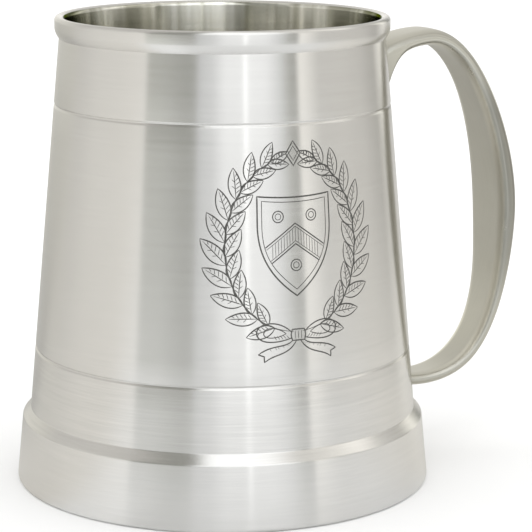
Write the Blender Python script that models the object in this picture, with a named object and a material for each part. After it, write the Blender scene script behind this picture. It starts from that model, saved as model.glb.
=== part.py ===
"""A lidless, straight-tapered pewter tankard: a turned drum wall with a moulded rim and a
skirted foot, a floor plate, and a strap handle soldered on.

Frame: metres, +Z up. The origin is on the mug's axis, in the plane that the foot rests on.
The handle stands out along +X. Dimensions below are in millimetres.
"""

import math

import bmesh
import bpy
from mathutils import Vector

MM = 0.001

# ---------------------------------------------------------------- whole mug
HEIGHT = 117.0             # table to the top of the rim
GAP = 0.3                  # clearance between neighbouring pieces

# ---------------------------------------------------------------- drum wall
WALL_R0 = 50.5             # outer radius of the drum's cone, carried down to the table
WALL_TAPER = 0.090         # radius lost for each millimetre of height
WALL_T = 1.3               # wall thickness
THICKEN_Z = (91.0, 107.0)  # the bore leaves its taper between these heights
GROOVE_Z = (95.3, 34.0)    # heights of the two scribed lines, from the top down
GROOVE_W = 1.0
GROOVE_D = 0.30

# ---------------------------------------------------------------- rim
RIM_R = 41.5               # outer radius of the rim's band
RIM_BORE_R = 38.85         # the lip's inner radius
LIP_Z = HEIGHT - 1.3       # where the lip's inner rounding starts
LIP_LEAD = 1.2             # the straight bore stops this far below that
LIP_FLARE = 0.06           # how much the bore opens per millimetre towards the lip
RIM_H = 5.4                # height of the whole moulding
RIM_BAND_Z = HEIGHT - 3.15  # lower edge of the vertical band
RIM_ROUND = 1.0            # rounding of the lip, outside
ROLL_LINEAR = 0.55         # share of the roll's inward drop that is linear
ROLL_POWER = 2.5           # power that the rest of the drop follows

# ---------------------------------------------------------------- foot
FOOT_R = 52.5              # the foot's widest radius, just above the table
FOOT_TOP_R = 50.9          # radius at the top of the skirt
FOOT_SKIRT_H = 16.1        # height of the skirt
FOOT_CHAMFER_H = 18.4      # height at which the chamfered shoulder would meet the wall
FOOT_ROUND = 0.8           # rounding of the bottom corner
FOOT_BORE_R = 47.6         # inner radius of the foot's inward flange
FLANGE_T = 1.6             # and its thickness
SEAT_Z = FLANGE_T + GAP    # underside of the pieces that stand over the flange

# ---------------------------------------------------------------- floor
BASE_RECESS = 0.8          # the floor plate's underside stands this far above the table
FLOOR_Z = 2.6              # top of the floor plate, inside the mug
SEAM_LEG = 1.4             # leg of the solder fillet round the floor

# ---------------------------------------------------------------- handle
# the spine as (reach from the axis, height), one Bezier knot per row: the knot, the
# control arm that arrives at it and the one that leaves it
HANDLE_KNOTS = (
    ((40.2, 105.0), (0.0, 0.0), (4.5, 3.6)),
    ((55.5, 109.5), (-2.2, 0.0), (13.0, 0.0)),
    ((78.0, 62.0), (0.0, 21.4), (0.0, -21.0)),
    ((48.4, 20.0), (26.6, -4.5), (0.0, 0.0)),
)
# share of the spine's length, strap width, strap thickness
HANDLE_SIZES = (
    (0.00, 15.6, 3.4),
    (0.14, 14.2, 3.7),
    (0.50, 18.4, 4.9),
    (0.82, 12.7, 3.3),
    (1.00, 10.2, 3.0),
)
HANDLE_EDGE = 1.9          # rounding of the strap's edges, through its thickness
HANDLE_ROLL = 3.8          # and across its faces
EDGE_LIMIT = 0.92          # most of the half thickness that the rounding may take
ROLL_LIMIT = 0.5           # most of the half width that it may take
FACE_POINTS = (0.5, 0.0, -0.5)  # extra points on each face, as shares of its flat half width
HANDLE_CROWN = 0.35        # how far the outer face is crowned
ROOT_SHARE = 0.3           # the upper root's flare is confined to this share of the spine
ROOT_DROP = 11.0           # how far the underside flares down at the upper root
ROOT_REACH = 3.4           # distance from the wall over which that flare dies out
ROOT_POWER = 1.3           # and how sharply

# ---------------------------------------------------------------- handle solder
PAD_T = 0.6                # thickness of the solder between handle and wall
PAD_MARGIN = 0.5           # how far that solder spreads past the strap's section
PAD_RUN_IN = 3.0           # how far the uncut pad is carried on towards the axis
UPPER_PAD_STATIONS = 8     # stations of the strap that each uncut pad follows
LOWER_PAD_STATIONS = 5

CUTTER_Z = (5.0, 125.0)    # lowest and highest level of the cutters
SHOULDER_CUTTER_MARGIN = 8.0  # how far the shoulder cutter reaches past the foot

# ---------------------------------------------------------------- resolution
TURN_STEPS = 96            # segments round the turned pieces
CONE_CUTTER_STEPS = TURN_STEPS * 2
CORNER_STEPS = 3
BORE_STEPS = 5             # spans in the bore's thickening
ROLL_STEPS = 5             # spans in the rim's roll
SPINE_STEPS = 80           # samples in each Bezier span
HANDLE_STATIONS = 44
HANDLE_STEPS = 4           # facets in the rounding of each strap edge
SHARP_ANGLE = 40           # degrees, on the handle and its solder


# ---------------------------------------------------------------- helpers
def clear_scene():
    for obj in list(bpy.data.objects):
        bpy.data.objects.remove(obj, do_unlink=True)


def pewter(name, colour, roughness):
    """A metal with the given base colour and roughness."""
    material = bpy.data.materials.new(name)
    material.use_nodes = True
    shader = material.node_tree.nodes["Principled BSDF"]
    shader.inputs["Base Color"].default_value = (*colour, 1.0)
    shader.inputs["Metallic"].default_value = 1.0
    shader.inputs["Roughness"].default_value = roughness
    material.diffuse_color = (*colour, 1.0)
    return material


def ease(t):
    """Smooth step from 0 to 1."""
    return t * t * (3 - 2 * t)


def wall_r(z):
    """Outer radius of the drum at height z."""
    return WALL_R0 - WALL_TAPER * z


def bore_r(z):
    """Inner radius: parallel to the outside, then thickened towards a slightly flared lip."""
    cone = wall_r(z) - WALL_T
    lip = RIM_BORE_R - LIP_FLARE * (LIP_Z - z)
    low, high = THICKEN_Z
    t = max(0.0, min(1.0, (z - low) / (high - low)))
    return cone + (lip - cone) * ease(t)


def arc(centre, radii, start, end, steps):
    """Points of an elliptical arc in a plane, angles in degrees."""
    angles = [math.radians(start + (end - start) * i / steps) for i in range(steps + 1)]
    return [
        (centre[0] + radii[0] * math.cos(angle), centre[1] + radii[1] * math.sin(angle))
        for angle in angles
    ]


def new_object(name, mesh, material, parent):
    obj = bpy.data.objects.new(name, mesh)
    bpy.context.scene.collection.objects.link(obj)
    if material is not None:
        mesh.materials.append(material)
    obj.parent = parent
    return obj


def turned(name, profile, material, parent, closed=True, steps=TURN_STEPS):
    """Turns an (r, z) profile about Z. An open profile starts and ends on the axis."""
    mesh = bpy.data.meshes.new(name)
    count = len(profile)
    edges = [(i, i + 1) for i in range(count - 1)]
    if closed:
        edges.append((count - 1, 0))
    mesh.from_pydata([(r * MM, 0.0, z * MM) for r, z in profile], edges, [])
    obj = new_object(name, mesh, material, parent)
    turn = obj.modifiers.new("Turn", "SCREW")
    turn.axis = "Z"
    turn.angle = 2 * math.pi
    turn.screw_offset = 0.0
    turn.steps = turn.render_steps = steps
    turn.use_merge_vertices = not closed
    turn.merge_threshold = 0.00001
    turn.use_smooth_shade = True
    return obj


def loft(name, rings, material, parent):
    """Closed skin over a run of rings, with flat caps."""
    bm = bmesh.new()
    rows = [[bm.verts.new(point * MM) for point in ring] for ring in rings]
    count = len(rows[0])
    for row, following in zip(rows, rows[1:]):
        for i in range(count):
            j = (i + 1) % count
            bm.faces.new((row[i], row[j], following[j], following[i]))
    bm.faces.new(list(reversed(rows[0])))
    bm.faces.new(rows[-1])
    bmesh.ops.recalc_face_normals(bm, faces=bm.faces)
    mesh = bpy.data.meshes.new(name)
    bm.to_mesh(mesh)
    bm.free()
    return new_object(name, mesh, material, parent)


def boolean(obj, cutter, operation):
    modifier = obj.modifiers.new(operation.title(), "BOOLEAN")
    modifier.operation = operation
    modifier.object = cutter
    modifier.solver = "EXACT"


def smooth(obj):
    obj.data.shade_smooth()
    obj.data.set_sharp_from_angle(angle=math.radians(SHARP_ANGLE))


# ---------------------------------------------------------------- turned pieces
def wall_profile():
    """Drum wall: down the outside past the two scribed lines, and back up the bore."""
    top = HEIGHT - RIM_H - GAP
    half = GROOVE_W / 2
    outside = [(wall_r(top), top)]
    for z in GROOVE_Z:
        outside += [
            (wall_r(z + half), z + half),
            (wall_r(z) - GROOVE_D, z),
            (wall_r(z - half), z - half),
        ]
    outside.append((wall_r(SEAT_Z), SEAT_Z))
    low, high = THICKEN_Z
    thickening = [low + (high - low) * i / BORE_STEPS for i in range(BORE_STEPS + 1)]
    return outside + [(bore_r(z), z) for z in [SEAT_Z, *thickening, top]]


def rim_profile():
    """Rim moulding: rounded lip, vertical band, and a convex roll back to the drum."""
    bottom = HEIGHT - RIM_H
    crest = RIM_R - RIM_ROUND
    drop = RIM_R - wall_r(bottom)
    lip = arc((crest, HEIGHT - RIM_ROUND), (RIM_ROUND, RIM_ROUND), 90, 0, CORNER_STEPS)
    roll = []
    for i in range(ROLL_STEPS + 1):
        t = i / ROLL_STEPS
        inset = drop * (ROLL_LINEAR * t + (1 - ROLL_LINEAR) * t**ROLL_POWER)
        roll.append((RIM_R - inset, RIM_BAND_Z + (bottom - RIM_BAND_Z) * t))
    bore = [(bore_r(z), z) for z in (bottom, LIP_Z - LIP_LEAD)]
    # the inner rounding's last point is the lip's first, so it is left out
    inner_radii = (crest - RIM_BORE_R, HEIGHT - LIP_Z)
    inner = arc((crest, LIP_Z), inner_radii, 180, 90, CORNER_STEPS + 1)[:-1]
    return lip + roll + bore + inner


def foot_profile():
    """Skirted foot: chamfered shoulder, tapered skirt, rounded corner and inward flange."""
    # the shoulder's line ends where it comes within GAP of the wall
    slope = (FOOT_TOP_R - wall_r(FOOT_CHAMFER_H)) / (FOOT_CHAMFER_H - FOOT_SKIRT_H)
    tip_z = (FOOT_TOP_R + slope * FOOT_SKIRT_H - WALL_R0 - GAP) / (slope - WALL_TAPER)
    corner_centre = (FOOT_R - FOOT_ROUND, FOOT_ROUND)
    return [
        (wall_r(tip_z) + GAP, tip_z),
        (FOOT_TOP_R, FOOT_SKIRT_H),
        *arc(corner_centre, (FOOT_ROUND, FOOT_ROUND), 0, -90, CORNER_STEPS),
        (FOOT_BORE_R, 0.0),
        (FOOT_BORE_R, FLANGE_T),
        (wall_r(FLANGE_T) + GAP, FLANGE_T),
    ]


def base_profile():
    """Floor plate with a rebated edge, from the axis out along the top and back below."""
    edge = bore_r(FLOOR_Z) - GAP
    rebate = FOOT_BORE_R - GAP
    return [
        (0.0, FLOOR_Z),
        (edge, FLOOR_Z),
        (edge, SEAT_Z),
        (rebate, SEAT_Z),
        (rebate, BASE_RECESS),
        (0.0, BASE_RECESS),
    ]


def seam_profile():
    """Solder fillet in the corner between the floor plate and the bore."""
    low = FLOOR_Z + GAP
    high = low + SEAM_LEG
    corner = bore_r(low) - GAP
    toe = corner - SEAM_LEG
    hollow = arc((toe, high), (SEAM_LEG, SEAM_LEG), -90, 0, CORNER_STEPS)[1:-1]
    return [(bore_r(high) - GAP, high), (corner, low), (toe, low), *hollow]


# ---------------------------------------------------------------- the strap handle
def bezier(p0, p1, p2, p3, t):
    s = 1 - t
    return p0 * s**3 + p1 * (3 * s * s * t) + p2 * (3 * s * t * t) + p3 * t**3


def spine():
    """Points of the handle's spine, closely spaced, from the upper root to the lower."""
    points = []
    for (start, _, leave), (end, arrive, _) in zip(HANDLE_KNOTS, HANDLE_KNOTS[1:]):
        p0, p3 = Vector(start), Vector(end)
        p1, p2 = p0 + Vector(leave), p3 + Vector(arrive)
        first = 1 if points else 0  # a span's first point is the last one's end
        for i in range(first, SPINE_STEPS + 1):
            points.append(bezier(p0, p1, p2, p3, i / SPINE_STEPS))
    return points


def strap_size(share):
    """(width, thickness) at a share of the spine's length, eased from row to row."""
    spans = zip(HANDLE_SIZES, HANDLE_SIZES[1:])
    before, after = next(span for span in spans if share <= span[1][0])
    t = ease((share - before[0]) / (after[0] - before[0]))
    return tuple(a + (b - a) * t for a, b in zip(before[1:], after[1:]))


def strap_stations():
    """(outer point, inner point, width) at evenly spaced shares of the spine."""
    points = spine()
    last = len(points) - 1
    run = [0.0]
    for a, b in zip(points, points[1:]):
        run.append(run[-1] + (b - a).length)
    stations = []
    j = 0
    for i in range(HANDLE_STATIONS):
        share = i / (HANDLE_STATIONS - 1)
        distance = run[-1] * i / (HANDLE_STATIONS - 1)
        while j < last - 1 and run[j + 1] < distance:
            j += 1
        t = (distance - run[j]) / (run[j + 1] - run[j])
        centre = points[j].lerp(points[j + 1], t)
        tangent = (points[min(j + 2, last)] - points[max(j - 1, 0)]).normalized()
        outward = Vector((-tangent.y, tangent.x))
        width, thickness = strap_size(share)
        outer = centre + outward * (thickness / 2)
        inner = centre - outward * (thickness / 2)
        # the upper root's underside flares down towards the wall
        if share < ROOT_SHARE:
            away = max(inner.x - wall_r(inner.y), 0.0)
            flare = ROOT_DROP * math.exp(-((away / ROOT_REACH) ** ROOT_POWER))
            inner = inner - Vector((0.0, flare))
        stations.append((outer, inner, width))
    return stations


def strap_section(outer, inner, width, grow=0.0):
    """One ring of the strap in millimetres: rounded edges and a crowned outer face."""
    centre = (outer + inner) / 2
    outward = (outer - inner).normalized()
    half_t = (outer - inner).length / 2 + grow
    half_w = width / 2 + grow
    deep = min(HANDLE_EDGE + grow, half_t * EDGE_LIMIT)
    wide = min(HANDLE_ROLL + grow, half_w * ROLL_LIMIT)
    flat = half_w - wide
    outline = []  # (across the strap, through it)
    for k, (side, face) in enumerate(((1, 1), (-1, 1), (-1, -1), (1, -1))):
        corner = (side * flat, face * (half_t - deep))
        outline += arc(corner, (wide, deep), 90 * k, 90 * k + 90, HANDLE_STEPS)
        if side == face:  # the outer or the inner face follows this corner
            outline += [(face * f * flat, face * half_t) for f in FACE_POINTS]
    ring = []
    for across, through in outline:
        if through > 0:
            through += HANDLE_CROWN * (1 - (across / half_w) ** 2)
        point = centre + outward * through
        ring.append(Vector((point.x, across, point.y)))
    return ring


def cutter(name, profile, parent, steps=TURN_STEPS):
    """A turned solid for the booleans, kept out of renders."""
    obj = turned(name, profile, None, parent, closed=False, steps=steps)
    obj.hide_render = True
    obj.display_type = "WIRE"
    return obj


def cone_cutter(name, clearance, parent):
    """A solid cone that stands `clearance` proud of the drum."""
    low, high = CUTTER_Z
    profile = [
        (0.0, high),
        (wall_r(high) + clearance, high),
        (wall_r(low) + clearance, low),
        (0.0, low),
    ]
    return cutter(name, profile, parent, CONE_CUTTER_STEPS)


def shoulder_cutter(parent):
    """A disc that fills the space up to the top of the foot's shoulder."""
    low, high = CUTTER_Z[0], FOOT_CHAMFER_H
    radius = FOOT_R + SHOULDER_CUTTER_MARGIN
    profile = [(0.0, high), (radius, high), (radius, low), (0.0, low)]
    return cutter("cutter_foot_shoulder", profile, parent)


def strap(stations, parent, metal):
    """The handle, trimmed clear of the drum and the solder at both ends."""
    handle = loft("handle", [strap_section(*station) for station in stations], metal, parent)
    clear = cone_cutter("cutter_handle_end", GAP + PAD_T + GAP, parent)
    boolean(handle, clear, "DIFFERENCE")
    smooth(handle)


def handle_solder(stations, parent, solder):
    """The two solder joints: a thin shell round the drum, in the strap's outline."""
    back = cone_cutter("cutter_solder_back", GAP, parent)
    front = cone_cutter("cutter_solder_front", GAP + PAD_T, parent)
    shoulder = shoulder_cutter(parent)

    def sections(run):
        return [strap_section(*station, grow=PAD_MARGIN) for station in run]

    def carried_in(ring):
        """The end ring moved well inside the drum, so that the cut has no loose corner."""
        return [point + Vector((-PAD_RUN_IN, 0.0, 0.0)) for point in ring]

    upper = sections(stations[:UPPER_PAD_STATIONS])
    upper.insert(0, carried_in(upper[0]))
    lower = sections(stations[-LOWER_PAD_STATIONS:])
    lower.append(carried_in(lower[-1]))
    # the lower joint stops short of the foot's shoulder
    joints = (
        ("upper_handle_solder", upper, (back,)),
        ("lower_handle_solder", lower, (back, shoulder)),
    )
    for name, rings, removed in joints:
        pad = loft(name, rings, solder, parent)
        boolean(pad, front, "INTERSECT")
        for solid in removed:
            boolean(pad, solid, "DIFFERENCE")
        smooth(pad)


def build():
    clear_scene()
    mug = bpy.data.objects.new("tankard", None)
    mug.empty_display_size = 0.02
    bpy.context.scene.collection.objects.link(mug)

    drum_metal = pewter("pewter_drum", colour=(0.62, 0.61, 0.58), roughness=0.32)
    trim_metal = pewter("pewter_mouldings", colour=(0.64, 0.63, 0.60), roughness=0.28)
    base_metal = pewter("pewter_base", colour=(0.58, 0.57, 0.54), roughness=0.38)
    handle_metal = pewter("pewter_handle", colour=(0.56, 0.55, 0.51), roughness=0.40)
    solder = pewter("solder", colour=(0.60, 0.60, 0.58), roughness=0.35)

    turned("body_wall", wall_profile(), drum_metal, mug)
    turned("rim_ring", rim_profile(), trim_metal, mug)
    turned("foot_ring", foot_profile(), trim_metal, mug)
    turned("base_plate", base_profile(), base_metal, mug, closed=False)
    turned("base_seam_solder", seam_profile(), solder, mug)

    stations = strap_stations()
    strap(stations, mug, handle_metal)
    handle_solder(stations, mug, solder)


build()
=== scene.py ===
"""A pewter tankard: a tapered drum with a moulded rim and a skirted foot, turned about +Z and
standing on z = 0, with a cast strap handle on the +X side and an engraved laurel wreath round
a shield on the front, which faces -Y. A pale floor and a soft tent of light surround it.
Lengths in the shape code are millimetres in the CAD frame, and MM turns them into metres.
"""

import math
import random

import bmesh
import bpy
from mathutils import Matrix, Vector


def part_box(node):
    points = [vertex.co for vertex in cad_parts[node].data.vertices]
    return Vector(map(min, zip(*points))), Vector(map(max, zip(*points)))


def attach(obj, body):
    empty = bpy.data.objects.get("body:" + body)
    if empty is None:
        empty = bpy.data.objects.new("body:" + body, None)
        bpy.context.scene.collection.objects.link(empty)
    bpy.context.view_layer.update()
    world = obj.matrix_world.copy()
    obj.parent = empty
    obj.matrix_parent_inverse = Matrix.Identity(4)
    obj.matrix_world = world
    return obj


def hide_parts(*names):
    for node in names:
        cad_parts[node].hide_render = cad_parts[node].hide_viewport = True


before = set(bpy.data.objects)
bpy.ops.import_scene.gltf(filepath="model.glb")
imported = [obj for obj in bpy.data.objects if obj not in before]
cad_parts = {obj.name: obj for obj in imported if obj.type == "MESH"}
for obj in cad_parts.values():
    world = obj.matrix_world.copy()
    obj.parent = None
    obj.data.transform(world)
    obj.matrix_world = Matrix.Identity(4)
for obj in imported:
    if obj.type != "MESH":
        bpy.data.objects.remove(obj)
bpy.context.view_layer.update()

MM = 0.001


def node_box(name):
    """Lowest and highest corner of a CAD node, in millimetres."""
    low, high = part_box(name)
    return low / MM, high / MM


# ---------------------------------------------------------------- driving dimensions
WALL_LO, WALL_HI = node_box("body_wall")
RIM_LO, RIM_HI = node_box("rim_ring")
_, FOOT_HI = node_box("foot_ring")
BASE_LO, BASE_HI = node_box("base_plate")

# drum
TAPER = 0.090                                # radius lost per millimetre of height
WALL_R0 = WALL_HI.x + TAPER * WALL_LO.z      # outer radius of the drum's cone at the table
WALL_T = 1.3
UPPER_GROOVE_Z = 95.3
LOWER_GROOVE_Z = 34.0
THICKEN_Z = (91.0, 107.0)                    # where the wall thickens towards the lip

# rim
HEIGHT = RIM_HI.z
RIM_Z0 = RIM_LO.z
RIM_R = RIM_HI.x
RIM_BORE = 38.85
LIP_Z = 115.7                                # where the lip's inner rounding starts
LIP_ROUND = 1.0
LIP_FLARE = 0.06
BAND_Z = 113.9                               # lower end of the rim's vertical band
WALL_LAP = 0.35                              # how far the drum runs up inside the rim

# foot
FOOT_R = FOOT_HI.x
FOOT_TOP_R = 50.9
SKIRT_H = 16.1
CHAMFER_H = 18.4
FOOT_LAP = 0.9                               # how far the foot runs up the drum
FOOT_BORE = 47.6
FOOT_BORE_H = 1.6

# floor plate and its solder
UNDER_GROOVE_RADII = (41.0, 27.0, 13.0)
SEAM_LEG = 1.7

TURN_SEGMENTS = 360
SEAM_SEGMENTS = 240


def wall_r(z):
    """Outer radius of the drum."""
    return WALL_R0 - TAPER * z


def bore_r(z):
    """Inner radius: parallel to the outside, then thickened towards a slightly flared lip."""
    cone = wall_r(z) - WALL_T
    lip = RIM_BORE - LIP_FLARE * (LIP_Z - z)
    low, high = THICKEN_Z
    t = max(0.0, min(1.0, (z - low) / (high - low)))
    return cone + (lip - cone) * (t * t * (3 - 2 * t))


# ---------------------------------------------------------------- mesh helpers
def bridge(bm, ring_a, ring_b):
    """Quads between two closed rings of as many vertices."""
    count = len(ring_a)
    faces = []
    for i in range(count):
        j = (i + 1) % count
        faces.append(bm.faces.new((ring_a[i], ring_a[j], ring_b[j], ring_b[i])))
    return faces


def to_mesh(bm, name):
    mesh = bpy.data.meshes.new(name)
    bm.to_mesh(mesh)
    bm.free()
    return mesh


def solid_mesh(bm, name, smooth=True, sharp=None):
    """A mesh with its normals outward. Edges over `sharp` degrees stay crisp."""
    bmesh.ops.recalc_face_normals(bm, faces=bm.faces)
    mesh = to_mesh(bm, name)
    if smooth:
        mesh.shade_smooth()
    if sharp is not None:
        mesh.set_sharp_from_angle(angle=math.radians(sharp))
    return mesh


def revolve(name, profile, segments=TURN_SEGMENTS, wobble=None):
    """Closed (r, z) profile turned about the axis. `wobble` shifts a radius by its angle."""
    bm = bmesh.new()
    rows = []
    for r, z in profile:
        if r < 1e-6:
            rows.append([bm.verts.new((0.0, 0.0, z * MM))])
            continue
        ring = []
        for i in range(segments):
            angle = 2 * math.pi * i / segments
            radius = wobble(r, z, angle) if wobble else r
            x = radius * MM * math.cos(angle)
            y = radius * MM * math.sin(angle)
            ring.append(bm.verts.new((x, y, z * MM)))
        rows.append(ring)
    for row, after in zip(rows, rows[1:] + rows[:1]):
        if len(row) == 1 and len(after) == 1:
            continue
        if len(row) > 1 and len(after) > 1:
            bridge(bm, row, after)
            continue
        for i in range(segments):
            j = (i + 1) % segments
            if len(row) == 1:
                bm.faces.new((row[0], after[j], after[i]))
            else:
                bm.faces.new((row[i], row[j], after[0]))
    return solid_mesh(bm, name, sharp=50)


def place(name, mesh, material, node, slot):
    """Links a piece, makes it ride on the mug and stand for its CAD node."""
    obj = bpy.data.objects.new(name, mesh)
    bpy.context.scene.collection.objects.link(obj)
    mesh.materials.append(material)
    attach(obj, "root")
    if node:
        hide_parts(node)


# ---------------------------------------------------------------- turned profiles
# upper half of a scribed line: height above its middle, depth
GROOVE_HALF = (
    (0.60, 0.0), (0.51, 0.015), (0.43, 0.06), (0.34, 0.13), (0.20, 0.235), (0.10, 0.285),
)
GROOVE_DEPTH = 0.30
# a groove under the floor plate: distance outward from its middle, depth
UNDER_GROOVE = ((0.5, 0.0), (0.3, 0.05), (0.0, 0.12), (-0.3, 0.05), (-0.5, 0.0))


def arc(centre_r, centre_z, radius_r, radius_z, start, end, steps):
    """Points of an elliptical arc from one angle to another, in degrees."""
    out = []
    for i in range(steps + 1):
        angle = math.radians(start + (end - start) * i / steps)
        r = centre_r + radius_r * math.cos(angle)
        out.append((r, centre_z + radius_z * math.sin(angle)))
    return out


def rounded(points, steps):
    """(r, z, radius) corners between two plain (r, z) ends, each corner rounded off."""
    out = [points[0][:2]]
    for before, here, after in zip(points, points[1:], points[2:]):
        corner, last, following = Vector(here[:2]), Vector(before[:2]), Vector(after[:2])
        to_last = (last - corner).normalized()
        to_next = (following - corner).normalized()
        half = math.acos(max(-1.0, min(1.0, to_last.dot(to_next)))) / 2
        reach = min(
            here[2] / math.tan(half),
            (last - corner).length * 0.49,
            (following - corner).length * 0.49,
        )
        radius = reach * math.tan(half)
        centre = corner + (to_last + to_next).normalized() * (radius / math.sin(half))
        start = corner + to_last * reach - centre
        end = corner + to_next * reach - centre
        sweep = math.atan2(start.x * end.y - start.y * end.x, start.dot(end))
        for i in range(steps + 1):
            angle = sweep * i / steps
            cos, sin = math.cos(angle), math.sin(angle)
            r = centre.x + start.x * cos - start.y * sin
            out.append((r, centre.y + start.x * sin + start.y * cos))
    out.append(points[-1][:2])
    return out


def on_wall(heights):
    return [(wall_r(z), z) for z in heights]


def on_bore(heights):
    return [(bore_r(z), z) for z in heights]


def groove_points(z):
    """A scribed line: a shallow rounded V with softened shoulders."""
    mirrored = [(-rise, depth) for rise, depth in reversed(GROOVE_HALF)]
    shape = [*GROOVE_HALF, (0.0, GROOVE_DEPTH), *mirrored]
    return [(wall_r(z + rise) - depth, z + rise) for rise, depth in shape]


def wall_profile():
    """Down the outside, then up the bore to a tongue hidden in the rim."""
    top, low = RIM_Z0 + WALL_LAP, WALL_LO.z
    tongue_r = bore_r(RIM_Z0) + 0.2
    return [
        *on_wall((top, RIM_Z0 - 0.5, 104.0)),
        *groove_points(UPPER_GROOVE_Z),
        *on_wall(range(88, 39, -8)),
        *groove_points(LOWER_GROOVE_Z),
        *on_wall((27.0, CHAMFER_H + 0.4, CHAMFER_H - 1.0, 8.0, low)),
        *on_bore((low, 4.5, 20.0, 40.0, 60.0, 80.0, *range(90, 112), RIM_Z0)),
        (tongue_r, RIM_Z0 + 0.02),
        (tongue_r, top),
    ]


def rim_profile():
    """Rounded lip, vertical band and a convex roll back to the drum."""
    lip = arc(RIM_R - LIP_ROUND, HEIGHT - LIP_ROUND, LIP_ROUND, LIP_ROUND, 90, 0, 14)
    roll = []
    steps = 14
    top = BAND_Z - 0.05
    drop = RIM_R - wall_r(RIM_Z0)
    for i in range(1, steps + 1):
        t = i / steps
        roll.append((RIM_R - drop * (0.55 * t + 0.45 * t**2.5), top + (RIM_Z0 - top) * t))
    crest = RIM_R - LIP_ROUND - RIM_BORE
    inner = arc(RIM_BORE + crest, LIP_Z, crest, HEIGHT - LIP_Z, 180, 90, 16)[:-1]
    below = on_bore((RIM_Z0, RIM_Z0 + 1.5, RIM_Z0 + 3.0))
    return lip + [(RIM_R, top + 0.03)] + roll + below + inner


def foot_profile():
    """Chamfered shoulder let softly into the drum, tapered skirt, rounded resting edge."""
    above_z = CHAMFER_H + FOOT_LAP
    above_r = wall_r(above_z) - 0.012
    outer = [
        (above_r, above_z),
        (wall_r(CHAMFER_H), CHAMFER_H, 0.55),
        (FOOT_TOP_R, SKIRT_H, 0.9),
        (FOOT_R, 0.0, 0.8),
        (FOOT_BORE, 0.0, 0.25),
        (FOOT_BORE, FOOT_BORE_H),
    ]
    return rounded(outer, steps=8) + [
        (wall_r(FOOT_BORE_H) - 0.1, FOOT_BORE_H + 0.02),
        (wall_r(CHAMFER_H) - 0.2, CHAMFER_H),
        (above_r - 0.15, above_z),
    ]


def base_profile():
    """Floor plate: a small raised centre on top, and turned grooves on the underside."""
    top, low, step = BASE_HI.z, BASE_LO.z, WALL_LO.z
    rim = bore_r(top) + 0.05
    under = FOOT_BORE - 0.02
    out = [(0.0, top + 0.10), (0.6, top + 0.09), (1.1, top + 0.02), (1.6, top)]
    out += [(8.0, top), (20.0, top), (34.0, top), (rim, top)]
    out += [(rim, step), (under, step), (under, low + 0.25), (under - 0.25, low)]
    for radius in UNDER_GROOVE_RADII:
        out += [(radius + outward, low + depth) for outward, depth in UNDER_GROOVE]
    return out + [(1.4, low), (0.8, low + 0.2), (0.0, low + 0.35)]


def seam_profile():
    """Concave bead in the corner between the floor plate and the bore."""
    low = BASE_HI.z - 0.02
    high = low + SEAM_LEG
    hollow = arc(bore_r(high) - SEAM_LEG, high, SEAM_LEG, SEAM_LEG, 0, -90, 10)
    return [(bore_r(high) + 0.1, high + 0.02)] + hollow + [
        (bore_r(low) - SEAM_LEG, low - 0.1),
        (bore_r(low) + 0.1, low - 0.1),
    ]


def seam_wobble(r, z, angle):
    """The bead's surface wanders a little, as hand-run solder does."""
    push = 0.05 * math.sin(7 * angle + 0.6)
    push += 0.04 * math.sin(17 * angle + 2.0) + 0.03 * math.sin(31 * angle)
    return r - push * min(max(bore_r(z) - r, 0.0), 1.0)


# ---------------------------------------------------------------- the strap handle
# Bezier knots of the centre line: (x, z), then offsets of the arriving and leaving controls
KNOTS = (
    ((40.2, 105.0), (0.0, 0.0), (4.5, 3.6)),
    ((55.5, 109.5), (-2.2, 0.0), (13.0, 0.0)),
    ((78.0, 62.0), (0.0, 21.4), (0.0, -21.0)),
    ((48.4, 20.0), (26.6, -4.5), (0.0, 0.0)),
)
SPAN_SAMPLES = 160
# width and thickness at shares of the strap's length, from its upper end
SHARES = (0.0, 0.14, 0.50, 0.82, 1.0)
WIDTHS = (15.6, 14.2, 18.4, 12.7, 10.2)
THICK = (3.4, 3.7, 4.9, 3.3, 3.0)
STRAP_RINGS = 170
EDGE = 1.9                # rounding of the strap's edges through its thickness
ROLL = 3.8                # and across its faces
CROWN = 0.35
CORNER_STEPS = 12
FACE_STEPS = 7
SIDE_STEPS = 2
ROOT_SHARE = 0.3          # upper part of the strap that may deepen into a root
ROOT_DROP = 11.0          # how far the inner face drops where it meets the drum
ROOT_REACH = 3.4          # how far out from the drum that drop fades
SUNK = 0.6                # depth of the strap's ends under the drum's surface
END_SUNK = 0.75           # depth of its last rings
END_RUN = 0.4             # length given to each last ring in the UV map
UV_UNIT = 100.0           # millimetres per UV unit


def spine():
    """The strap's centre line in the x-z plane."""
    points = []
    for (start, _, leave), (end, arrive, _) in zip(KNOTS, KNOTS[1:]):
        p0, p3 = Vector(start), Vector(end)
        p1, p2 = p0 + Vector(leave), p3 + Vector(arrive)
        for i in range(1 if points else 0, SPAN_SAMPLES + 1):
            t = i / SPAN_SAMPLES
            s = 1 - t
            points.append(p0 * s**3 + p1 * (3 * s * s * t) + p2 * (3 * s * t * t) + p3 * t**3)
    return points


def eased(values, share):
    """A value of a station table at a share of the strap's length."""
    for a, b, value_a, value_b in zip(SHARES, SHARES[1:], values, values[1:]):
        if share <= b:
            t = (share - a) / (b - a)
            return value_a + (value_b - value_a) * t * t * (3 - 2 * t)


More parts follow.
